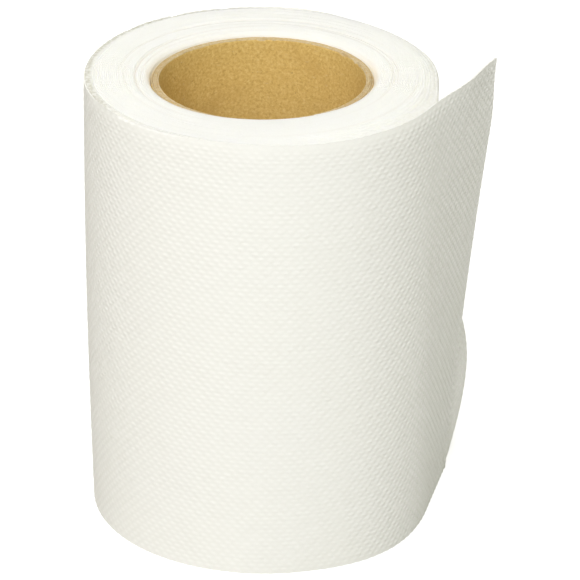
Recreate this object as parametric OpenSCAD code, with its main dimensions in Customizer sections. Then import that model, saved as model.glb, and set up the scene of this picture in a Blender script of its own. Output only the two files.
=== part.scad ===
// Roll of embossed white paper on a cardboard core, standing on its end.
// Units are millimetres, +Z is up and the origin is on the core's axis at the level the roll stands on.
// Azimuths are degrees seen from above: 0 is the right, -90 the front, 90 the back. The web is wound
// so that its turns run outward with rising azimuth, and the free tail ends past 360.

/* [Core] */
// Inside diameter of the cardboard core
core_bore_d = 44; // [36:0.5:56]
// Wall of the core
core_wall = 1.65; // [1:0.05:3]
// How far the core's top rim lies below the web's edge
core_recess = 1.7; // [0.5:0.1:4]
// Gap all round between the core and the first turn
core_fit = 0.1; // [0.05:0.05:0.3]

/* [Winding] */
// Width of the web, which is the height of the standing roll
web_w = 102; // [80:1:130]
// Thickness of the embossed web
web_t = 0.5; // [0.35:0.05:0.8]
// Radial depth of the tightly wound turns
winding = 12.8; // [8:0.1:30]
// Number of turns whose edge shows as a line on the end faces
lines = 9; // [4:1:12]
// Depth and half width of that line
line_depth = 0.3; // [0.15:0.05:0.4]
// How far the wound turns' end face lies below the outer turn's edge
rim_low = 0.5; // [0.2:0.1:1]
// Bevel of the wound turns at the outer rims of their end faces
rim_bevel = 0.6; // [0.3:0.1:1]
// How far the innermost turns sink towards the core
funnel_drop = 0.6; // [0.3:0.1:1]
// Radial reach of the turns that sink
funnel_w = 3.6; // [2:0.2:5]

/* [Loose outer turn] */
// Slack of the outer turn at the left and back
back_slack = 1.25; // [0.8:0.05:2.5]
// How much wider that slack is at half height
back_swell = 0.5; // [0:0.1:1.5]
// Azimuth where that slack is widest
back_deg = 175; // [160:1:185]
// Slack of the outer turn at the front, at the foot
front_slack_foot = 1.1; // [1:0.1:2]
// Slack of the outer turn at the front, at the top
front_slack_top = 4; // [3:0.1:5]
// How far the outer turn also bulges at the foot before the tail
foot_bulge = 0.9; // [0:0.1:2]
// Share of that front slack that the next turns, loosened too, take up
follow_share = 0.8; // [0.5:0.05:0.9]
// Stand-off of the belly low at the right
belly_out = 14.2; // [8:0.1:15]
// Azimuth of the belly's crest
belly_deg = 24; // [22:0.5:28]
// Height of the belly's widest place
belly_z = 24; // [20:1:40]
// Height where the belly has run out
belly_top = 72; // [60:1:80]

/* [Free tail] */
// Azimuth where the tail leaves the roll at the foot
leave_foot_deg = 346; // [342:1:350]
// Azimuth where the tail leaves the roll at the top
leave_top_deg = 330.5; // [328:0.5:338]
// Azimuth of the cut end at the foot
end_foot_deg = 373.5; // [370:0.5:376]
// Azimuth of the cut end at the top
end_top_deg = 369; // [364:0.5:376]
// How far the top corner of the cut end curls back to the roll
corner_curl = 1.2; // [0:0.1:2]

/* [Hidden] */
$fn = 180;

core_r = core_bore_d / 2 + core_wall;
core_len = web_w - core_recess;
bore_over = 1;
wound_in = core_r + core_fit;
wound_r = wound_in + winding;
wound_len = web_w - rim_low;
wound_sides = 96;
line_columns = 32;
line_fade = 6;

// The loose turn starts sunk in the winding and is laid out on a grid of columns and levels
loose_start_deg = -60;
loose_rise_deg = 40;
loose_sink = 0.6 * web_t;
start_low = rim_low + 0.4;
start_low_from_deg = -25;
start_low_to_deg = 5;
back_half_deg = 120;
front_from_deg = 238;
front_to_deg = 318;
bulge_deg = 315;
bulge_half_deg = 34;
belly_from_deg = -8;
belly_to_deg = 95;
belly_foot = 0.68;
flare_power = 1.2;
curl_z = 16;
curl_turn_deg = 16;
columns = 72;
levels = 8;

// The loosened turns under it: where they have closed up again, how far they stay below the end faces
// at their inner and outer side, and how far they are sunk in the winding and clear of the outer turn
follow_end_deg = 362;
follow_low = 0.1;
follow_low_out = 1;
follow_sink = 0.4;
follow_gap = 0.35;
follow_columns = 16;
follow_levels = 3;

function mix(low, high, k) = low + (high - low) * k;
function ease(a, from, to) =
    let (x = min(1, max(0, (a - from) / (to - from))))
    x * x * (3 - 2 * x);
function window(a, mid, half) =
    abs(a - mid) < half ? (1 + cos(180 * (a - mid) / half)) / 2 : 0;

// Belly: the share of its stand-off at a height, and at an azimuth
function belly_height(z) =
    z < belly_z ? mix(belly_foot, 1, sin(90 * z / belly_z))
                : 1 - ease(z, belly_z, belly_top);
function belly_round(a) =
    a < belly_deg ? pow(ease(a, belly_from_deg, belly_deg), 3)
                  : 1 - ease(a, belly_deg, belly_to_deg);

// Radius of the loose turn's middle while it lies round the roll, and where the tail runs off straight
function laid_r(a, z) =
    wound_r - loose_sink * (1 - ease(a, loose_start_deg, loose_start_deg + loose_rise_deg))
    + (back_slack + back_swell * sin(180 * z / web_w)) * window(a, back_deg, back_half_deg)
    + front_slack(a, z)
    + foot_bulge * (1 - z / web_w) * window(a, bulge_deg, bulge_half_deg)
    + belly_out * belly_height(z) * belly_round(a);
function leave_deg(z) = mix(leave_foot_deg, leave_top_deg, pow(z / web_w, flare_power));
function front_slack(a, z) =
    mix(front_slack_foot, front_slack_top, z / web_w) * ease(a, front_from_deg, front_to_deg);
function end_deg(z) = mix(end_foot_deg, end_top_deg, z / web_w);
function tail_turn(a, z) = max(0, a - leave_deg(z));
function curl(a, z) =
    corner_curl * ease(z, web_w - curl_z, web_w) * ease(a, end_deg(z) - curl_turn_deg, end_deg(z));
function loose_r(a, z) = laid_r(min(a, leave_deg(z)), z) / cos(tail_turn(a, z)) - curl(a, z);
function follow_r(a, z) =
    wound_r + max(-follow_sink / 2,
        follow_share * front_slack(a, z) * (1 - ease(a, leave_deg(z), follow_end_deg)) - follow_gap);
function loose_point(a, z, side) =
    let (r = loose_r(a, z) + side * web_t / 2 / cos(tail_turn(a, z)))
    [r * cos(a), r * sin(a), z];

module core_tube() {
    color([0.78, 0.62, 0.38])
    difference() {
        cylinder(h = core_len, r = core_r);
        translate([0, 0, -bore_over])
        cylinder(h = core_len + 2 * bore_over, d = core_bore_d);
    }
}

// Section of the tightly wound turns, bevelled outside and sunk a little towards the core
module wound_section() {
    polygon([
        [wound_in, funnel_drop],
        [wound_in + funnel_w, 0],
        [wound_r - rim_bevel, 0],
        [wound_r, rim_bevel],
        [wound_r, wound_len - rim_bevel],
        [wound_r - rim_bevel, wound_len],
        [wound_in + funnel_w, wound_len],
        [wound_in, wound_len - funnel_drop]
    ]);
}

// Cutter for the line that the turns' edges draw on an end face at height 0: one long spiral of
// V section, which runs out at both ends
module turn_line() {
    steps = lines * line_columns;
    line_in = wound_in + 2 * line_depth;
    line_out = wound_r - rim_bevel - line_depth;
    points = [
        for (i = [0 : steps])
            let (
                a = 360 * i / line_columns,
                r = mix(line_in, line_out, i / steps),
                sunk = funnel_drop * max(0, 1 - (r - wound_in) / funnel_w),
                cut = line_depth * min(1, i / line_fade, (steps - i) / line_fade)
            )
            each [
                [(r - line_depth) * cos(a), (r - line_depth) * sin(a), line_depth - sunk],
                [r * cos(a), r * sin(a), -cut - sunk],
                [(r + line_depth) * cos(a), (r + line_depth) * sin(a), line_depth - sunk]
            ]
    ];
    sides = [
        for (i = [0 : steps - 1])
            for (k = [0 : 2])
                let (p = 3 * i + k, q = 3 * i + (k + 1) % 3)
                each [[p, q, p + 3], [q, q + 3, p + 3]]
    ];
    last = 3 * steps;
    polyhedron(points, concat(sides, [[2, 1, 0], [last, last + 1, last + 2]]));
}

module wound_turns() {
    difference() {
        rotate_extrude($fn = wound_sides)
        wound_section();
        translate([0, 0, wound_len])
        turn_line();
        mirror([0, 0, 1])
        turn_line();
    }
}

// The turns next to the outer one, loosened with it at the front: four rows of points round their section
module loosened_turns() {
    points = [
        for (i = [0 : follow_columns])
            let (a = mix(front_from_deg, follow_end_deg, i / follow_columns))
            each [
                for (j = [0 : follow_levels])
                    let (z = mix(follow_low_out, wound_len - follow_low_out, j / follow_levels), r = follow_r(a, z))
                    [r * cos(a), r * sin(a), z],
                for (z = [wound_len - follow_low, follow_low])
                    [(wound_r - follow_sink) * cos(a), (wound_r - follow_sink) * sin(a), z]
            ]
    ];
    round = follow_levels + 3;
    sides = [
        for (i = [0 : follow_columns - 1])
            for (k = [0 : round - 1])
                let (p = round * i + k, q = round * i + (k + 1) % round)
                each [[p, q, p + round], [q, q + round, p + round]]
    ];
    first = round - 1;
    last = round * follow_columns;
    ends = [
        for (k = [0 : round - 3])
            each [[first, k + 1, k], [last + first, last + k, last + k + 1]]
    ];
    polyhedron(points, concat(sides, ends));
}

// The outer turn and the tail: one sheet between an inner and an outer skin of points. Where it starts,
// under the loosened turns, its top edge stays below their end face.
module loose_turn() {
    row = columns + 1;
    skin = row * (levels + 1);
    points = [
        for (side = [-1, 1])
            for (j = [0 : levels])
                for (i = [0 : columns])
                    let (
                        a = mix(loose_start_deg, end_deg(web_w * j / levels), i / columns),
                        low = start_low * (1 - ease(a, start_low_from_deg, start_low_to_deg))
                    )
                    loose_point(a, (web_w - low) * j / levels, side)
    ];
    inner_skin = [
        for (j = [0 : levels - 1])
            for (i = [0 : columns - 1])
                let (p = j * row + i)
                each [[p, p + 1, p + row], [p + 1, p + row + 1, p + row]]
    ];
    outer_skin = [
        for (j = [0 : levels - 1])
            for (i = [0 : columns - 1])
                let (p = skin + j * row + i)
                each [[p, p + row, p + 1], [p + 1, p + row, p + row + 1]]
    ];
    foot_edge = [
        for (i = [0 : columns - 1])
            each [[i, skin + i, i + 1], [i + 1, skin + i, skin + i + 1]]
    ];
    top_edge = [
        for (i = [0 : columns - 1])
            let (p = levels * row + i)
            each [[p, p + 1, skin + p], [p + 1, skin + p + 1, skin + p]]
    ];
    start_edge = [
        for (j = [0 : levels - 1])
            let (p = j * row)
            each [[p, p + row, skin + p], [p + row, skin + p + row, skin + p]]
    ];
    cut_edge = [
        for (j = [0 : levels - 1])
            let (p = j * row + columns)
            each [[p, skin + p, p + row], [p + row, skin + p, skin + p + row]]
    ];
    polyhedron(points, concat(inner_skin, outer_skin, foot_edge, top_edge, start_edge, cut_edge));
}

module paper_roll() {
    color([0.97, 0.97, 0.95])
    union() {
        wound_turns();
        loosened_turns();
        loose_turn();
    }
}

core_tube();
paper_roll();
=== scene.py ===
# Standing roll of embossed white web on a cardboard core, with a loosened outer turn and a free tail
import math

import bpy
from mathutils import Matrix, Vector, noise


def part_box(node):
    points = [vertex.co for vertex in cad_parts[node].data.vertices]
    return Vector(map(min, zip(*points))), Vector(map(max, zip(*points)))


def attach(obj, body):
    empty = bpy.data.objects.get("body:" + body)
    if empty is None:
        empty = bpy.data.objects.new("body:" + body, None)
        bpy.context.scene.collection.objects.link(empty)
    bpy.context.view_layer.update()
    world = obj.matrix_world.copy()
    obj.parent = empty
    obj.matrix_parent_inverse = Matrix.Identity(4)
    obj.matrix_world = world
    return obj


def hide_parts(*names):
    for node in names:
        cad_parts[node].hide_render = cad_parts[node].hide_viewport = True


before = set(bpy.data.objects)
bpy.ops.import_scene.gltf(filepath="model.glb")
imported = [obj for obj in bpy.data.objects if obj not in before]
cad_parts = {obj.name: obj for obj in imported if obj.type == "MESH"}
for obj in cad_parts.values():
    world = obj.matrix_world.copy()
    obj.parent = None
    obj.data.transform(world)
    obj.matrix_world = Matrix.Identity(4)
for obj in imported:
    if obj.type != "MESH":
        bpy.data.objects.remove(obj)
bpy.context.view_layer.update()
print("frame loaded")

mm = 0.001
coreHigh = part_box("core_tube")[1]


# Shared helpers

def selectOnly(piece):
    for item in bpy.context.selected_objects:
        item.select_set(False)
    bpy.context.view_layer.objects.active = piece
    piece.select_set(True)


def startPiece(name):
    piece = bpy.context.active_object
    piece.name = name
    piece.data.name = name
    return piece


def applyModifiers(piece):
    selectOnly(piece)
    for modifier in list(piece.modifiers):
        bpy.ops.object.modifier_apply(modifier=modifier.name)


def smoothByAngle(piece, degrees):
    selectOnly(piece)
    bpy.ops.object.shade_smooth_by_angle(angle=math.radians(degrees))


def mix(low, high, share):
    return low + (high - low) * share


def ease(value, start, stop):
    share = min(1.0, max(0.0, (value - start) / (stop - start)))
    return share * share * (3 - 2 * share)


def window(value, middle, half):
    if abs(value - middle) >= half:
        return 0.0
    return (1 + math.cos(math.pi * (value - middle) / half)) / 2


def roundWindow(azimuth, middle, half):
    return window((azimuth - middle + 180) % 360 - 180, 0, half)


def polar(radius, azimuth, level):
    turn = math.radians(azimuth)
    return Vector((radius * math.cos(turn), radius * math.sin(turn), level)) * mm


def ripple(azimuth, detail, seed):
    turn = math.radians(azimuth)
    return noise.noise(Vector((detail * math.cos(turn), detail * math.sin(turn), seed)))


# Camera at the photograph's angle, fitted to the rims of the roll

camera = {
    "aim": (0.00603, 0, 0.05001), "distance": 0.7421, "elevation": 26.3458, "roll": 0.2243, "lens": 210.14,
    "sensor": 36, "clipStart": 0.01,
}
tilt = math.radians(camera["elevation"])
away = Vector((0, -math.cos(tilt), math.sin(tilt)))
bpy.ops.object.camera_add(location=Vector(camera["aim"]) + away * camera["distance"])
cameraObject = bpy.context.active_object
cameraObject.data.lens = camera["lens"]
cameraObject.data.sensor_width = camera["sensor"]
cameraObject.data.clip_start = camera["clipStart"]
rolled = Matrix.Rotation(math.radians(camera["roll"]), 3, "Z")
cameraObject.rotation_euler = ((-away).to_track_quat("-Z", "Y").to_matrix() @ rolled).to_euler()
bpy.context.scene.camera = cameraObject
print("camera set")


# Materials, one node after another

def newMaterial(name):
    material = bpy.data.materials.new(name)
    material.use_nodes = True
    material.node_tree.nodes.clear()
    return material


def addNode(material, kind, settings=None, inputs=None):
    node = material.node_tree.nodes.new(kind)
    for key, value in (settings or {}).items():
        setattr(node, key, value)
    for key, value in (inputs or {}).items():
        if isinstance(value, bpy.types.NodeSocket):
            material.node_tree.links.new(value, node.inputs[key])
        else:
            node.inputs[key].default_value = value
    return node


def calc(material, operation, first, second=0.0, third=0.0):
    node = addNode(material, "ShaderNodeMath", {"operation": operation}, {0: first, 1: second, 2: third})
    return node.outputs[0]


def spread(material, value, low, high, toLow=0.0, toHigh=1.0):
    inputs = {"Value": value, "From Min": low, "From Max": high, "To Min": toLow, "To Max": toHigh}
    return addNode(material, "ShaderNodeMapRange", {"interpolation_type": "SMOOTHSTEP"}, inputs).outputs[0]


def grain(material, place, scale, detail=3.0, rough=0.5, distortion=0.0):
    inputs = {"Vector": place, "Scale": scale, "Detail": detail, "Roughness": rough, "Distortion": distortion}
    return addNode(material, "ShaderNodeTexNoise", None, inputs).outputs["Fac"]


def mixColor(material, share, first, second, blend="MIX"):
    node = addNode(material, "ShaderNodeMix", {"data_type": "RGBA", "blend_type": blend}, {0: share})
    for socket, value in ((node.inputs[6], first), (node.inputs[7], second)):
        if isinstance(value, bpy.types.NodeSocket):
            material.node_tree.links.new(value, socket)
        else:
            socket.default_value = (*value, 1)
    return node.outputs[2]


def finishMaterial(material, color, height, bump, roughness, **constants):
    relief = addNode(material, "ShaderNodeBump", None, {"Height": height, "Distance": bump, "Strength": 1.0})
    inputs = {"Base Color": color, "Roughness": roughness, "Normal": relief.outputs["Normal"]}
    shader = addNode(material, "ShaderNodeBsdfPrincipled", None, inputs)
    for key, value in constants.items():
        shader.inputs[key.replace("_", " ")].default_value = value
    addNode(material, "ShaderNodeOutputMaterial", None, {"Surface": shader.outputs[0]})
    return material


# White web. A lattice column and row count emboss cells along the web and up it.

webLook = {
    # Painted highlight and shade: the pips' crowns are coloured lighter and the valleys between them darker
    "crownHighlight": (0.95, 0.945, 0.91),
    "valleyShade": (0.885, 0.88, 0.84),
    "patch": (0.915, 0.91, 0.885),
    "rim": ((0.93, 0.925, 0.885), (0.97, 0.965, 0.935)),        # the web's own cut edge
    "rimBump": 0.00005,
    "bump": 0.00020,
    "roughness": 0.8,
    "rows": (168, 200, 0.22, 0.45),     # how far the pips also run together along their rows, left and front
    "pulled": 0.42,     # share of the emboss that is left where the turn is pulled flat at the front
    "left": (184, 160, 0.75),       # columns between which the emboss comes back, and by how much
    "tail": (222, 266, 1.15),
    "edgeRows": (94.5, 96.8, 0.35),     # rows near the top edge over which it fades, and what is left
}


def crispness(column):
    # How much of the emboss is left in a column
    left = ease(column, *webLook["left"][:2]) * webLook["left"][2]
    return webLook["pulled"] + left + ease(column, *webLook["tail"][:2]) * webLook["tail"][2]


def webRimMaterial():
    material = newMaterial("webRim")
    place = addNode(material, "ShaderNodeTexCoord").outputs["Object"]
    fibres = grain(material, place, 2600, 4, 0.6, 0.4)
    color = mixColor(material, spread(material, fibres, 0.3, 0.7), *webLook["rim"])
    return finishMaterial(material, color, fibres, webLook["rimBump"], webLook["roughness"],
                          Specular_IOR_Level=0.3)


def webMaterial():
    material = newMaterial("embossedWeb")
    lattice = addNode(material, "ShaderNodeUVMap", {"uv_map": "lattice"}).outputs["UV"]
    apart = addNode(material, "ShaderNodeSeparateXYZ", None, {"Vector": lattice})
    place = addNode(material, "ShaderNodeTexCoord").outputs["Object"]
    turns = [calc(material, "MULTIPLY", apart.outputs[k], math.pi) for k in (0, 1)]
    rows = calc(material, "COSINE", calc(material, "MULTIPLY", turns[1], 2.0))
    pips = calc(material, "MULTIPLY", *[calc(material, "COSINE", turn) for turn in turns])
    pips = calc(material, "MULTIPLY_ADD", rows, spread(material, apart.outputs[0], *webLook["rows"]), pips)
    crisp = [spread(material, apart.outputs[0], *webLook[part][:2], 0.0, webLook[part][2])
             for part in ("left", "tail")]
    crisp = calc(material, "ADD", calc(material, "ADD", *crisp), webLook["pulled"])
    fade = spread(material, apart.outputs[1], *webLook["edgeRows"][:2], 1.0, webLook["edgeRows"][2])
    crisp = calc(material, "MULTIPLY", crisp, fade)
    fibres = grain(material, place, 2600, 4, 0.6, 0.4)
    soft = grain(material, place, 260, 2)
    patches = grain(material, place, 45, 2)
    pips = calc(material, "MULTIPLY", pips, crisp)
    height = calc(material, "MULTIPLY", pips, 0.5)
    height = calc(material, "MULTIPLY_ADD", fibres, 0.15, height)
    height = calc(material, "MULTIPLY_ADD", soft, 0.5, height)
    # Painted highlight on the pips' crowns and painted shade in their valleys, stronger where the emboss is
    # crisper
    color = mixColor(material, spread(material, pips, -1.4, 1.4), webLook["valleyShade"], webLook["crownHighlight"])
    color = mixColor(material, spread(material, patches, 0.35, 0.7, 0.0, 0.35), color, webLook["patch"])
    return finishMaterial(material, color, height, webLook["bump"], webLook["roughness"],
                          Specular_IOR_Level=0.3)


# Edges of the imported turns. Attribute shade: red is painted shade along the turns that lie low, green painted
# bounce light from the core on the paper beside it, and blue painted shade on the slack turn and the shoulder.

edgeLook = {
    "white": (0.935, 0.93, 0.89),
    "line": (0.84, 0.80, 0.745),
    "glow": (0.86, 0.66, 0.40),
    # slack is the painted shade grey of the slack turn and the shoulder
    "slack": (0.63, 0.615, 0.53),
    "fuzz": (0.70, 0.69, 0.66),
    "bump": 0.00007,
    "roughness": 0.85,
    "scatter": 0.0016,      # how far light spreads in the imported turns
}


def edgeMaterial():
    material = newMaterial("turnEdges")
    place = addNode(material, "ShaderNodeTexCoord").outputs["Object"]
    shade = addNode(material, "ShaderNodeAttribute", {"attribute_name": "shade"}).outputs["Color"]
    apart = addNode(material, "ShaderNodeSeparateColor", None, {"Color": shade})
    fuzz = grain(material, place, 3200, 4, 0.65, 0.5)
    clumps = grain(material, place, 500, 2)
    # Painted shade: a darker warm grey along the turns that lie lower than their neighbours
    color = mixColor(material, apart.outputs[0], edgeLook["white"], edgeLook["line"])
    # Painted bounce light: the kraft core's colour laid on the paper beside it
    color = mixColor(material, apart.outputs[1], color, edgeLook["glow"])
    # Painted shade: the slack turn and the shoulder are greyed, in dots like the cut emboss
    dots = spread(material, grain(material, place, 1100, 1), 0.36, 0.60, 0.45, 1.0)
    slack = calc(material, "MULTIPLY", apart.outputs[2], dots)
    color = mixColor(material, slack, color, edgeLook["slack"])
    color = mixColor(material, spread(material, fuzz, 0.25, 0.75, 0.12, 0.0), color, edgeLook["fuzz"])
    height = calc(material, "MULTIPLY_ADD", clumps, 0.6, fuzz)
    return finishMaterial(material, color, height, edgeLook["bump"], edgeLook["roughness"],
                          Specular_IOR_Level=0.25, Subsurface_Weight=1.0, Subsurface_Radius=(1, 1, 0.9),
                          Subsurface_Scale=edgeLook["scatter"])


# Kraft cardboard, on the walls and on the cut rims

kraftLook = {
    "base": (0.825, 0.585, 0.198),
    "pale": (0.96, 0.745, 0.31),
    "dark": (0.62, 0.38, 0.11),
    "cut": (0.60, 0.47, 0.27),
    "cutPale": (0.74, 0.61, 0.39),
    "fibre": (0.86, 0.70, 0.42),
    "speck": (0.34, 0.16, 0.05),
    "middleRadius": 0.0228,     # where the wall is laid flat for the grain
    "deepShade": (0.076, 0.098, 0.87),       # painted shade: levels between which the bore is coloured darker, and by how much
    "bump": 0.00006,
    "roughness": 0.72,
}


def kraftMaterial(cutRim):
    material = newMaterial("kraftCut" if cutRim else "kraft")
    place = addNode(material, "ShaderNodeTexCoord").outputs["Object"]
    apart = addNode(material, "ShaderNodeSeparateXYZ", None, {"Vector": place})
    # The grain of the plies runs along the turn, so the wall is laid flat
    azimuth = calc(material, "ARCTAN2", apart.outputs[1], apart.outputs[0])
    around = calc(material, "MULTIPLY", azimuth, kraftLook["middleRadius"])
    flat = addNode(material, "ShaderNodeCombineXYZ", None,
                   {"X": apart.outputs[0], "Y": apart.outputs[1]}).outputs[0]
    out = addNode(material, "ShaderNodeVectorMath", {"operation": "LENGTH"}, {0: flat}).outputs["Value"]
    rolled = addNode(material, "ShaderNodeCombineXYZ", None,
                     {"X": around, "Y": out, "Z": apart.outputs[2]}).outputs[0]
    along = addNode(material, "ShaderNodeMapping", None,
                    {"Vector": rolled, "Rotation": (0, 0.25, 0), "Scale": (0.3, 1, 1)})
    clouds = grain(material, place, 110, 3, 0.55)
    mottle = grain(material, rolled, 1500, 5, 0.7, 0.4)
    fine = grain(material, place, 4200, 3, 0.6)
    fibres = grain(material, along.outputs[0], 2400, 3, 0.6, 0.8)
    specks = grain(material, place, 900, 1, 0.4, 1.5)
    if cutRim:
        base, pale = kraftLook["cut"], kraftLook["cutPale"]
    else:
        base, pale = kraftLook["base"], kraftLook["pale"]
    color = mixColor(material, spread(material, mottle, 0.45, 0.70), base, pale)
    color = mixColor(material, spread(material, mottle, 0.49, 0.30, 0.0, 0.75), color, kraftLook["dark"])
    color = mixColor(material, spread(material, fibres, 0.42, 0.28, 0.0, 0.55), color, kraftLook["dark"])
    color = mixColor(material, spread(material, clouds, 0.5, 0.3, 0.0, 0.25), color, kraftLook["dark"])
    color = mixColor(material, spread(material, fibres, 0.62, 0.76, 0.0, 0.5), color, kraftLook["fibre"])
    color = mixColor(material, spread(material, specks, 0.77, 0.83, 0.0, 0.7), color, kraftLook["speck"])
    # Painted shade: the bore's colour darkens with depth below the top rim
    depth = spread(material, apart.outputs[2], *kraftLook["deepShade"], 1.0)
    boreShade = addNode(material, "ShaderNodeCombineXYZ", None, {0: depth, 1: depth, 2: depth}).outputs[0]
    color = mixColor(material, 1.0, color, boreShade, "MULTIPLY")
    height = calc(material, "MULTIPLY_ADD", mottle, 0.9, fine)
    height = calc(material, "MULTIPLY_ADD", fibres, 0.7, height)
    return finishMaterial(material, color, height, kraftLook["bump"], kraftLook["roughness"],
                          Specular_IOR_Level=0.25)


webFinish = webMaterial()
rimFinish = webRimMaterial()
edgeFinish = edgeMaterial()
kraftFinish = kraftMaterial(False)
cutFinish = kraftMaterial(True)
print("materials made")


# Loose outer turn and free tail: one sheet, with its lengths in mm and azimuths in degrees.
# Azimuth 0 is the right, -90 the front and 90 the back, and the sheet runs on past 360.

looseTurn = {
    "width": 102.0, "thickness": 0.34, "cell": 1.05, "relief": 0.06, "notch": 0.12, "edgeRelief": 0.3,
    "windingOut": 36.55, "sink": 0.3, "start": -60, "rise": 40,
    # How far the top edge lies low where the sheet starts, at the front and at the back
    "startLow": 1.1, "lowTo": (35, 80), "frontLow": 0.45, "frontFade": (185, 220), "frontLowEnd": (322, 346),
    "backTop": 0.75, "backTopAt": 182, "backTopHalf": 52,
    # The rim is rounded over at the right
    "shoulder": 0.95, "shoulderAt": -5, "shoulderHalf": 85, "shoulderFlat": 1.4,
    "rightOut": 1.0, "rightAt": 14, "rightHalf": 48, "flare": 0.2,
    # The top edge leans in to the roll at the front
    "lean": 0.25, "leanMore": 0.6, "leanHigh": 4.2, "leanGrows": (280, 320), "leanEnd": (334, 352),
    "backSlack": 1.25, "backSwell": 0.5, "back": 175, "backHalf": 120,
    "frontFoot": 1.1, "frontTop": 4.0, "frontFrom": 238, "frontTo": 318,
    "bulge": 0.9, "bulgeAt": 315, "bulgeHalf": 34,
    "bellyOut": 13.7, "belly": 24, "bellyFrom": -8, "bellyTo": 95,
    "bellyLevel": 24, "bellyTop": 72, "bellyFoot": 0.68,
    "leaveFoot": 346, "leaveTop": 330.5, "leavePower": 1.2, "endFoot": 373.5, "endTop": 369,
    "curl": 1.2, "curlHeight": 16, "curlTurn": 16,
    "anchor": 270, "tailColumns": 70, "backColumns": 208, "topRows": 8,
    "nicks": ((122, 0.7), (141, 0.35), (104, 0.3)),     # small tears in the top edge: azimuth, depth
}


def bellyShare(azimuth, level):
    s = looseTurn
    if level < s["bellyLevel"]:
        high = mix(s["bellyFoot"], 1, math.sin(math.pi / 2 * level / s["bellyLevel"]))
    else:
        high = 1 - ease(level, s["bellyLevel"], s["bellyTop"])
    if azimuth < s["belly"]:
        return high * ease(azimuth, s["bellyFrom"], s["belly"]) ** 3
    return high * (1 - ease(azimuth, s["belly"], s["bellyTo"]))


def frontSlack(azimuth, level):
    s = looseTurn
    slack = mix(s["frontFoot"], s["frontTop"], level / s["width"])
    return slack * ease(azimuth, s["frontFrom"], s["frontTo"])


def laidRadius(azimuth, level):
    s = looseTurn
    up = level / s["width"]
    slack = s["backSlack"] + s["backSwell"] * math.sin(math.pi * up)
    return (s["windingOut"] - s["sink"] * (1 - ease(azimuth, s["start"], s["start"] + s["rise"]))
            + slack * window(azimuth, s["back"], s["backHalf"])
            + frontSlack(azimuth, level)
            + s["bulge"] * (1 - up) * window(azimuth, s["bulgeAt"], s["bulgeHalf"])
            + s["rightOut"] * ease(up, 0.5, 1) * window(azimuth, s["rightAt"], s["rightHalf"])
            + s["bellyOut"] * bellyShare(azimuth, level))


def leaveAzimuth(level):
    # The azimuth at which the tail leaves the roll, straight on along its tangent
    s = looseTurn
    return mix(s["leaveFoot"], s["leaveTop"], (level / s["width"]) ** s["leavePower"])


def endAzimuth(level):
    return mix(looseTurn["endFoot"], looseTurn["endTop"], level / looseTurn["width"])


def leanIn(azimuth, level):
    s = looseTurn
    lean = s["lean"] + s["leanMore"] * ease(azimuth, *s["leanGrows"])
    share = max(0.0, 1 - (s["width"] - level) / s["leanHigh"]) ** 2
    return lean * share * ease(azimuth, *s["frontFade"]) * (1 - ease(azimuth, *s["leanEnd"]))


def shoulderLow(azimuth):
    s = looseTurn
    return s["shoulder"] * min(1.0, s["shoulderFlat"] * window(azimuth, s["shoulderAt"], s["shoulderHalf"]))


def topLow(azimuth):
    # How far the sheet's top edge lies below its full width
    s = looseTurn
    low = s["startLow"] * (1 - ease(azimuth, *s["lowTo"])) + shoulderLow(azimuth)
    low += s["frontLow"] * ease(azimuth, *s["frontFade"]) * (1 - ease(azimuth, *s["frontLowEnd"]))
    low += s["backTop"] * window(azimuth, s["backTopAt"], s["backTopHalf"])
    return low + sum(depth * window(azimuth, place, 2) for place, depth in s["nicks"])


def looseRadius(azimuth, level):
    s = looseTurn
    leave = leaveAzimuth(level)
    stop = endAzimuth(level)
    curled = ease(level, s["width"] - s["curlHeight"], s["width"]) * ease(azimuth, stop - s["curlTurn"], stop)
    straight = math.cos(math.radians(max(0.0, azimuth - leave)))
    return laidRadius(min(azimuth, leave), level) / straight - s["curl"] * curled - leanIn(azimuth, level)


def rowAzimuths(level):
    # Azimuths of one row's columns, one cell apart along the path from the anchor at the front
    s = looseTurn

    def walk(azimuth, direction, steps, length=None):
        found = [azimuth]
        size = s["cell"] if length is None else length / steps
        here = polar(looseRadius(azimuth, level), azimuth, 0)
        while len(found) <= steps:
            turn = direction * math.degrees(size / looseRadius(azimuth, level))
            for _ in range(3):
                there = polar(looseRadius(azimuth + turn, level), azimuth + turn, 0)
                turn *= size * mm / (there - here).length
            azimuth += turn
            here = polar(looseRadius(azimuth, level), azimuth, 0)
            found.append(azimuth)
        return found

    stop = endAzimuth(level)
    fine = [polar(looseRadius(mix(s["anchor"], stop, k / 200), level), mix(s["anchor"], stop, k / 200), 0)
            for k in range(201)]
    length = sum((b - a).length for a, b in zip(fine, fine[1:])) / mm
    ahead = walk(s["anchor"], 1, s["tailColumns"], length)
    ahead[-1] = stop
    behind = walk(s["anchor"], -1, s["backColumns"])
    return behind[:0:-1] + ahead


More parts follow.
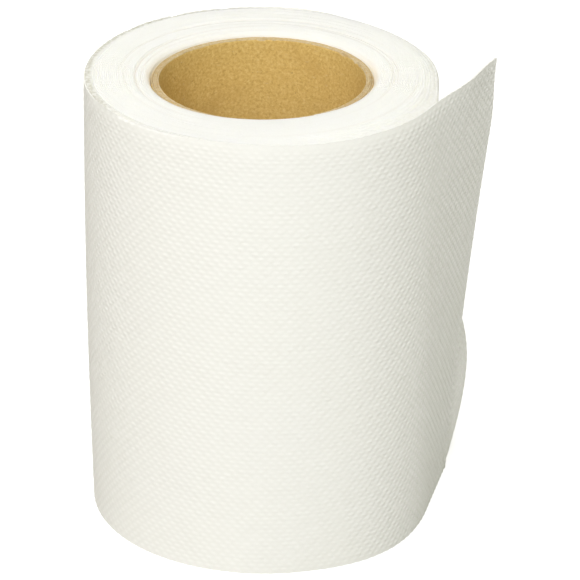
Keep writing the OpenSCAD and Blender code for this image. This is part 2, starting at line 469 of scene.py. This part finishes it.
def makeOuterTurn():
    s = looseTurn
    columns = s["backColumns"] + s["tailColumns"]
    rows = round(s["width"] / s["cell"])
    bpy.ops.mesh.primitive_grid_add(x_subdivisions=columns, y_subdivisions=rows, size=2, location=(0, 0, 0))
    piece = startPiece("outerTurn")
    mesh = piece.data
    cells = [(round((v.co.x + 1) / 2 * columns), round((v.co.y + 1) / 2 * rows)) for v in mesh.vertices]
    azimuths = [rowAzimuths(s["width"] * row / rows) for row in range(rows + 1)]
    for vertex, (column, row) in zip(mesh.vertices, cells):
        azimuth = azimuths[row][column]
        level = s["width"] * row / rows
        low = topLow(azimuth) * ease(row, rows - s["topRows"], rows)
        vertex.co = polar(looseRadius(azimuth, level), azimuth, level - low)
    uv = mesh.uv_layers.active or mesh.uv_layers.new()
    uv.name = "lattice"
    for loop in mesh.loops:
        uv.data[loop.index].uv = cells[loop.vertex_index]
    mesh.update()
    # Emboss: every second cell corner stands proud, and the cut edges run through the pips
    moves = []
    for vertex, (column, row) in zip(mesh.vertices, cells):
        proud = 1 if (column + row) % 2 == 0 else -1
        relief = s["relief"] * min(1.0, crispness(column) - 0.3)
        onEdge = row > rows - 2 or column == columns
        move = vertex.normal * (relief * (s["edgeRelief"] if onEdge else 1) * proud * mm)
        if proud < 0 and row in (0, rows):
            notch = s["notch"] * (1 if row == 0 else -ease(azimuths[row][column], 60, 100))
            move += Vector((0, 0, notch * mm))
        if proud < 0 and column == columns:
            before = azimuths[row][column - 1]
            level = s["width"] * row / rows
            inward = polar(looseRadius(before, level), before, level) - vertex.co
            move += inward.normalized() * (s["notch"] * 1.5 * mm)
        if column == columns:
            move += (vertex.co * Vector((1, 1, 0))).normalized() * (s["flare"] * mm)
        moves.append(move)
    for vertex, move in zip(mesh.vertices, moves):
        vertex.co += move
    solidify = piece.modifiers.new("thickness", "SOLIDIFY")
    solidify.thickness = s["thickness"] * mm
    solidify.offset = 0
    solidify.use_even_offset = False
    solidify.material_offset_rim = 1
    mesh.materials.append(webFinish)
    mesh.materials.append(rimFinish)
    applyModifiers(piece)
    smoothByAngle(piece, 50)
    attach(piece, "root")
    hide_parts("paper_roll")
    return piece


outerTurn = makeOuterTurn()
print("outer turn and tail made", len(outerTurn.data.polygons))


# Tightly wound turns: a ribbon laid in a spiral on the top end face, carried down and mirrored to the foot

woundTurns = {
    "inner": 23.75, "outer": 36.55, "height": 101.5, "turns": 29, "segments": 128, "across": 4,
    "startAzimuth": -62.7,
    # The innermost turns sink towards the core, less so at the front
    "funnelDrop": 0.6, "funnelWidth": 3.6, "funnelFront": 0.45,
    # The outermost turns follow the loose sheet at the front
    "looseFrom": 33.6, "follow": 0.8, "followEnd": 362, "followGap": 0.3, "followLow": 0.5,
    # The last turn's edge is taken up to the sheet, from a radius so far inside the outer one
    "fillFrom": 1.3, "fillOver": 0.08,
    # The last turn lies in the gap at the left and back, where the face rises to the sheet's edge
    "backFollow": 1.0, "backRise": 0.5, "riseRadii": (29, 36), "riseAt": 130, "riseHalf": 140,
    "shoulderFrom": 32.4,
    "sink": 0.95, "sinkTo": 25.0, "sinkHalf": 110,  # the first turn rolls over to the core, save at the front
    "profile": (0.17, 0.03, 0.0, 0.03, 0.17),       # how the edge of one turn rounds over to its neighbours
    "uneven": 0.14,                                 # how far a turn's edge may lie below the face
    # Turns that lie lower than their neighbours: radius, depth, azimuth and half width of the stretch
    "bands": (
        (24.9, 0.10, 190, 120), (25.7, 0.18, 150, 100), (27.1, 0.36, 165, 110), (27.9, 0.22, 20, 100),
        (28.8, 0.26, 50, 90), (29.4, 0.12, 200, 80), (30.6, 0.26, 110, 110), (33.2, 0.12, 320, 90),
    ),
    # bandHalf sets how wide the turns drop; lineHalf and lineShare set the painted shade along them
    "bandHalf": 0.7, "lineHalf": 0.55, "lineShare": 2.4,
    "innerWave": 0.12,
    # Painted bounce light from the core on the paper beside it: azimuth, half width, share
    "glow": ((182, 42, 0.55), (-2, 40, 0.5)), "glowWidth": 1.6,
    # Painted shade on the slack turn at the back left and on the shoulder: share, radii, azimuth, half width
    "slackShade": (2, (-0.3, 0.1), 158, 90),
    "shoulderShade": (0.35, (33.8, 37.4), 5, 80),
}


def bandShare(radius, azimuth, half):
    return sum(depth * window(radius, place, half) * roundWindow(azimuth, middle, reach)
               for place, depth, middle, reach in woundTurns["bands"])


def turnDrop(azimuth, turn):
    drop = woundTurns["uneven"] * (0.5 + 0.5 * ripple(azimuth, 1.3, turn * 1.71))
    return drop + 0.05 * (0.5 + 0.5 * ripple(azimuth, 14, turn * 3.1))


def placeRibbon(mesh):
    # Both sides of a joint between two turns get the same place, so that they merge
    w = woundTurns
    columns = w["turns"] * w["segments"]
    pitch = (w["outer"] - w["inner"]) / (w["turns"] + 1)
    for vertex in mesh.vertices:
        turn = round((vertex.co.x + 1) / 2 * columns) / w["segments"]
        step = round((vertex.co.y + 1) / 2 * w["across"])
        azimuth = w["startAzimuth"] + 360 * turn
        radius = w["inner"] + pitch * (turn + step / w["across"])
        if step in (0, w["across"]):
            joint = turn + step / w["across"]
            drop = (turnDrop(azimuth, joint) + turnDrop(azimuth, joint - 1)) / 2
        else:
            drop = turnDrop(azimuth, turn)
        near = 1 - ease(radius, w["inner"], w["inner"] + 2)
        drop = (drop + w["profile"][step]) * (1 - near) + bandShare(radius, azimuth, w["bandHalf"])
        sunk = 1 - ease(radius, w["inner"] - 0.3, w["sinkTo"])
        drop += w["sink"] * (1 - roundWindow(azimuth, -90, w["sinkHalf"])) * sunk
        over = max(0.0, (radius - w["shoulderFrom"]) / (w["outer"] - w["shoulderFrom"])) ** 2
        drop += over * shoulderLow((azimuth + 180) % 360 - 180)
        front = roundWindow(azimuth, -90, 90)
        funnel = max(0.0, 1 - (radius - w["inner"]) / w["funnelWidth"])
        drop += w["funnelDrop"] * (1 - w["funnelFront"] * front) * funnel
        radius += w["innerWave"] * near * (0.5 + 0.5 * ripple(azimuth, 5, 7.7))
        vertex.co = polar(radius, azimuth, w["height"] - drop)


def loosenFront(mesh):
    # The outermost turns fan out at the front, under the outer turn, and lie a little lower there. At the
    # right and back they keep close to the outer turn.
    w = woundTurns
    half = w["height"] / 2
    pitch = (w["outer"] - w["inner"]) / (w["turns"] + 1)
    for vertex in mesh.vertices:
        radius = vertex.co.xy.length / mm
        share = ease(radius, w["looseFrom"], w["outer"] + 0.8)
        azimuth = math.degrees(math.atan2(vertex.co.y, vertex.co.x))
        azimuth += 360 if azimuth < 90 else 0
        level = vertex.co.z / mm
        room = w["follow"] * frontSlack(azimuth, level)
        room *= 1 - ease(azimuth, leaveAzimuth(level), w["followEnd"])
        room = max(0.0, room - w["followGap"] * ease(room, 0, 1))
        # Along the last turn the spiral's edge lies inside the sheet by up to one turn, which is taken up
        along = ((azimuth - w["startAzimuth"]) % 360) / 360
        fill = pitch * (1 - along) * ease(along, 0, w["fillOver"])
        fill *= ease(radius, w["outer"] - w["fillFrom"], w["outer"] - pitch)
        outward = (radius + fill - w["looseFrom"]) / (w["outer"] - w["looseFrom"]) if share > 0 else 0
        low = w["followLow"] * room / 3 * share
        last = ease(radius + fill, w["outer"] - pitch, w["outer"])
        last *= window(azimuth, looseTurn["back"], looseTurn["backHalf"])
        right = roundWindow(azimuth, looseTurn["rightAt"], looseTurn["rightHalf"])
        right *= ease(level, half, w["height"])
        radius += fill + (room + looseTurn["rightOut"] * right) * outward
        radius += w["backFollow"] * looseTurn["backSlack"] * last
        if level > half:
            rise = ease(radius, *w["riseRadii"]) * roundWindow(azimuth, w["riseAt"], w["riseHalf"])
            low -= w["backRise"] * rise
        vertex.co = polar(radius, azimuth, level - low * (1 if level > half else -1))


def makeWoundTurns():
    w = woundTurns
    bpy.ops.mesh.primitive_grid_add(x_subdivisions=w["turns"] * w["segments"], y_subdivisions=w["across"],
                                    size=2, location=(0, 0, 0))
    piece = startPiece("woundTurns")
    mesh = piece.data
    placeRibbon(mesh)
    middle = w["height"] / 2 * mm
    bpy.ops.object.mode_set(mode="EDIT")
    bpy.ops.mesh.select_mode(type="EDGE")
    bpy.ops.mesh.select_all(action="SELECT")
    bpy.ops.mesh.remove_doubles(threshold=0.00001)
    bpy.ops.mesh.select_all(action="DESELECT")
    bpy.ops.mesh.select_non_manifold(extend=False)
    bpy.ops.mesh.extrude_region_move(TRANSFORM_OT_translate={"value": (0, 0, -0.01)})
    bpy.ops.transform.resize(value=(1, 1, 0), center_override=(0, 0, middle))
    bpy.ops.mesh.select_all(action="SELECT")
    bpy.ops.transform.translate(value=(0, 0, -middle))
    bpy.ops.object.mode_set(mode="OBJECT")
    mirror = piece.modifiers.new("foot", "MIRROR")
    mirror.use_axis = (False, False, True)
    mirror.merge_threshold = 0.00001
    applyModifiers(piece)
    bpy.ops.object.mode_set(mode="EDIT")
    bpy.ops.mesh.select_all(action="SELECT")
    bpy.ops.transform.translate(value=(0, 0, middle))
    bpy.ops.mesh.normals_make_consistent(inside=False)
    bpy.ops.object.mode_set(mode="OBJECT")
    mesh = piece.data
    loosenFront(mesh)
    mesh.materials.append(edgeFinish)
    mesh.materials.append(webFinish)
    mesh.materials.append(rimFinish)
    uv = mesh.uv_layers.active or mesh.uv_layers.new()
    uv.name = "lattice"
    for polygon in mesh.polygons:
        outside = polygon.center.xy.length > 30 * mm
        wall = abs(polygon.normal.z) < 0.3 and polygon.area > 1e-6 and outside
        inside = abs(polygon.normal.z) < 0.3 and not outside
        polygon.material_index = 1 if wall else 2 if inside else 0
        around = math.atan2(polygon.center.y, polygon.center.x)
        for index in polygon.loop_indices:
            co = mesh.vertices[mesh.loops[index].vertex_index].co
            turn = around + (math.atan2(co.y, co.x) - around + math.pi) % (2 * math.pi) - math.pi
            uv.data[index].uv = (turn * w["outer"] / looseTurn["cell"], co.z / mm / looseTurn["cell"])
    shade = mesh.color_attributes.new("shade", "FLOAT_COLOR", "POINT")
    for vertex in mesh.vertices:
        radius = vertex.co.xy.length / mm
        azimuth = math.degrees(math.atan2(vertex.co.y, vertex.co.x))
        # Painted bounce light from the core, fading out from the inner edge
        glow = sum(share * roundWindow(azimuth, place, half) for place, half, share in w["glow"])
        glow *= 1 - ease(radius, w["inner"], w["inner"] + w["glowWidth"])
        # Share of painted shade along the lower-lying turns
        line = min(1.0, w["lineShare"] * bandShare(radius, azimuth, w["lineHalf"]))
        # Painted shade on the slack turn and on the shoulder
        share, (start, stop), place, half = w["slackShade"]
        greyShade = ease(radius, w["outer"] + start, w["outer"] + stop)
        greyShade *= min(1.0, share * roundWindow(azimuth, place, half))
        share, radii, place, half = w["shoulderShade"]
        greyShade += share * ease(radius, *radii) * roundWindow(azimuth, place, half)
        shade.data[vertex.index].color = (line, glow, greyShade, 1)
    smoothByAngle(piece, 60)
    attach(piece, "root")
    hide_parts("paper_roll")
    return piece


woundPiece = makeWoundTurns()
print("wound turns made", len(woundPiece.data.polygons))


# Cardboard core: its section is drawn up the bore, over the cut rim and down the outside, then mirrored

coreTube = {
    "segments": 180,
    # Radius and distance below the top, with the lines between the plies on the cut rim
    "section": (
        (22.0, 22.0), (22.0, 8.0), (22.0, 2.5), (22.0, 0.5), (22.03, 0.16), (22.12, 0.03), (22.30, 0.06),
        (22.40, 0.20), (22.50, 0.07), (22.78, 0.03), (22.88, 0.17), (22.98, 0.05), (23.20, 0.08), (23.32, 0.34),
        (23.42, 0.10), (23.56, 0.12), (23.65, 0.30), (23.65, 6.0),
    ),
    "ragged": 0.16, "dents": 0.05,
    # Chips out of the inner edge: azimuth, half width, depth
    "chips": (
        (91, 3, 0.4), (84, 2, 0.25), (38, 4, 0.4), (26, 2.5, 0.5), (20, 2, 0.4), (-6, 4, 0.3), (128, 3, 0.25),
    ),
    # Torn fibres that stand up from the cut: azimuth, radius, length, lean
    "tufts": (
        (90, 22.3, 0.9, 55), (84, 22.2, 0.6, -40), (40, 22.4, 1.0, 60), (35, 22.2, 0.7, -50),
        (24, 22.4, 0.9, 50), (20, 22.2, 0.8, -35), (2, 23.3, 0.9, 40), (-6, 23.2, 1.0, -55),
        (-9, 22.8, 0.7, 30), (-168, 22.6, 0.6, 60), (140, 22.2, 0.6, 45), (62, 22.1, 0.5, -60),
    ),
    "tuftRadii": (0.15, 0.03), "tuftBend": 0.35,
}


def makeTuft(azimuth, radius, length, lean):
    top = coreHigh.z / mm
    thick, thin = coreTube["tuftRadii"]
    bpy.ops.mesh.primitive_cone_add(vertices=5, radius1=thick * mm, radius2=thin * mm, depth=length * mm,
                                    location=(0, 0, 0))
    tuft = startPiece("tuft")
    bpy.ops.object.mode_set(mode="EDIT")
    bpy.ops.mesh.select_all(action="SELECT")
    bpy.ops.mesh.subdivide(number_cuts=1)
    bpy.ops.object.mode_set(mode="OBJECT")
    spin = Matrix.Rotation(math.radians(azimuth), 4, "Z") @ Matrix.Rotation(math.radians(lean), 4, "X")
    base = polar(radius, azimuth, top - 0.1)
    for vertex in tuft.data.vertices:
        up = vertex.co.z + length / 2 * mm
        bent = vertex.co.x - coreTube["tuftBend"] * up * up / (length * mm)
        vertex.co = base + (spin @ Vector((bent, vertex.co.y, up))).xyz
        vertex.co.z = min(vertex.co.z, top * mm)
    return tuft


def makeCoreTube():
    c = coreTube
    top = coreHigh.z / mm
    middle = top / 2
    first = c["section"][0]
    bpy.ops.mesh.primitive_circle_add(vertices=c["segments"], radius=first[0] * mm, fill_type="NOTHING",
                                      location=(0, 0, 0))
    piece = startPiece("coreTube")
    bpy.ops.object.mode_set(mode="EDIT")
    bpy.ops.mesh.select_all(action="SELECT")
    here = (first[0], middle)
    for radius, below in c["section"] + ((c["section"][-1][0], middle),):
        rise = (top - below - here[1]) * mm
        bpy.ops.mesh.extrude_region_move(TRANSFORM_OT_translate={"value": (0, 0, rise)})
        bpy.ops.transform.resize(value=(radius / here[0], radius / here[0], 1), center_override=(0, 0, 0))
        here = (radius, top - below)
    bpy.ops.object.mode_set(mode="OBJECT")
    for vertex in piece.data.vertices:
        radius = vertex.co.xy.length / mm
        azimuth = math.degrees(math.atan2(vertex.co.y, vertex.co.x))
        below = top - middle - vertex.co.z / mm
        inner = 1 - ease(radius, 22.1, 22.5)
        near = 1 - ease(below, 0.3, 1.2)
        drop = near * c["ragged"] * (0.5 + 0.5 * ripple(azimuth, 26, radius * 4.0))
        chipped = sum(depth * roundWindow(azimuth, place, half) for place, half, depth in c["chips"])
        drop += near * inner * chipped
        if inner > 0 and below > 0.01:
            radius += c["dents"] * (0.5 + 0.5 * ripple(azimuth, 2.5, below * 0.05)) * (1 - near)
        vertex.co = polar(radius, azimuth, top - middle - below - drop)
    mirror = piece.modifiers.new("otherEnd", "MIRROR")
    mirror.use_axis = (False, False, True)
    mirror.merge_threshold = 0.00002
    applyModifiers(piece)
    bpy.ops.object.mode_set(mode="EDIT")
    bpy.ops.mesh.select_all(action="SELECT")
    bpy.ops.mesh.remove_doubles(threshold=0.00001)
    bpy.ops.transform.translate(value=(0, 0, middle * mm))
    bpy.ops.mesh.normals_make_consistent(inside=False)
    bpy.ops.object.mode_set(mode="OBJECT")
    tufts = [makeTuft(*tuft) for tuft in c["tufts"]]
    selectOnly(piece)
    for tuft in tufts:
        tuft.select_set(True)
    bpy.ops.object.join()
    mesh = piece.data
    mesh.materials.append(kraftFinish)
    mesh.materials.append(cutFinish)
    for polygon in mesh.polygons:
        high = abs(polygon.center.z / mm - middle) > middle - 1.3
        polygon.material_index = 1 if high and polygon.center.xy.length > 22.02 * mm else 0
    smoothByAngle(piece, 40)
    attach(piece, "root")
    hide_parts("core_tube")
    return piece


corePiece = makeCoreTube()
print("core made", len(corePiece.data.polygons))


# Floor, soft light and white surroundings

studio = {
    "floorColor": (0.76, 0.76, 0.76), "floorGlow": 0.6,
    "ambient": (0.265, 0.265, 0.19), "ambientStrength": 1.0,
    # Softboxes: place, size, power, colour
    "lights": {
        "keyLight": ((-0.10, -1.05, 0.95), 0.8, 12.3, (0.98, 0.98, 1.0)),
        "topLight": ((-0.30, 0.10, 1.28), 0.9, 6.5, (0.94, 0.94, 1.0)),
        "leftLight": ((-1.15, -0.10, 0.45), 0.6, 0.4, (1.0, 0.50, 0.40)),
        "rightLight": ((1.00, 0.70, 0.25), 0.6, 1.4, (0.97, 0.97, 1.0)),
    },
}


def whiteForCamera(material, otherShader, glow):
    # White for what the camera sees, straight, mirrored or through glass
    path = addNode(material, "ShaderNodeLightPath")
    seen = calc(material, "MAXIMUM", path.outputs["Is Camera Ray"], path.outputs["Is Glossy Ray"])
    seen = calc(material, "MAXIMUM", seen, path.outputs["Is Transmission Ray"])
    return addNode(material, "ShaderNodeMixShader", None, {0: seen, 1: otherShader, 2: glow}).outputs[0]


def makeFloor():
    bpy.ops.mesh.primitive_plane_add(size=8, location=(0, 0, 0))
    floor = startPiece("studioFloor")
    material = newMaterial("paleFloor")
    matte = addNode(material, "ShaderNodeBsdfDiffuse", None, {"Color": (*studio["floorColor"], 1)})
    glow = addNode(material, "ShaderNodeEmission", None,
                   {"Color": (1, 1, 1, 1), "Strength": studio["floorGlow"]})
    both = addNode(material, "ShaderNodeAddShader", None, {0: matte.outputs[0], 1: glow.outputs[0]})
    mixed = whiteForCamera(material, matte.outputs[0], both.outputs[0])
    addNode(material, "ShaderNodeOutputMaterial", None, {"Surface": mixed})
    floor.data.materials.append(material)


def makeWorld():
    world = bpy.data.worlds.new("studioWorld")
    world.use_nodes = True
    world.node_tree.nodes.clear()
    ambient = addNode(world, "ShaderNodeBackground", None,
                      {"Color": (*studio["ambient"], 1), "Strength": studio["ambientStrength"]})
    white = addNode(world, "ShaderNodeBackground", None, {"Color": (1, 1, 1, 1), "Strength": 1.0})
    mixed = whiteForCamera(world, ambient.outputs[0], white.outputs[0])
    addNode(world, "ShaderNodeOutputWorld", None, {"Surface": mixed})
    bpy.context.scene.world = world


def makeLights():
    for name, (place, size, power, color) in studio["lights"].items():
        bpy.ops.object.light_add(type="AREA", location=place)
        lamp = bpy.context.active_object
        lamp.name = name
        lamp.data.shape = "DISK"
        lamp.data.size = size
        lamp.data.energy = power
        lamp.data.color = color
        toRoll = Vector((0, 0, 0.05)) - Vector(place)
        lamp.rotation_euler = toRoll.to_track_quat("-Z", "Y").to_euler()


makeFloor()
makeWorld()
makeLights()
bpy.context.scene.view_settings.view_transform = "Standard"
print("studio made")
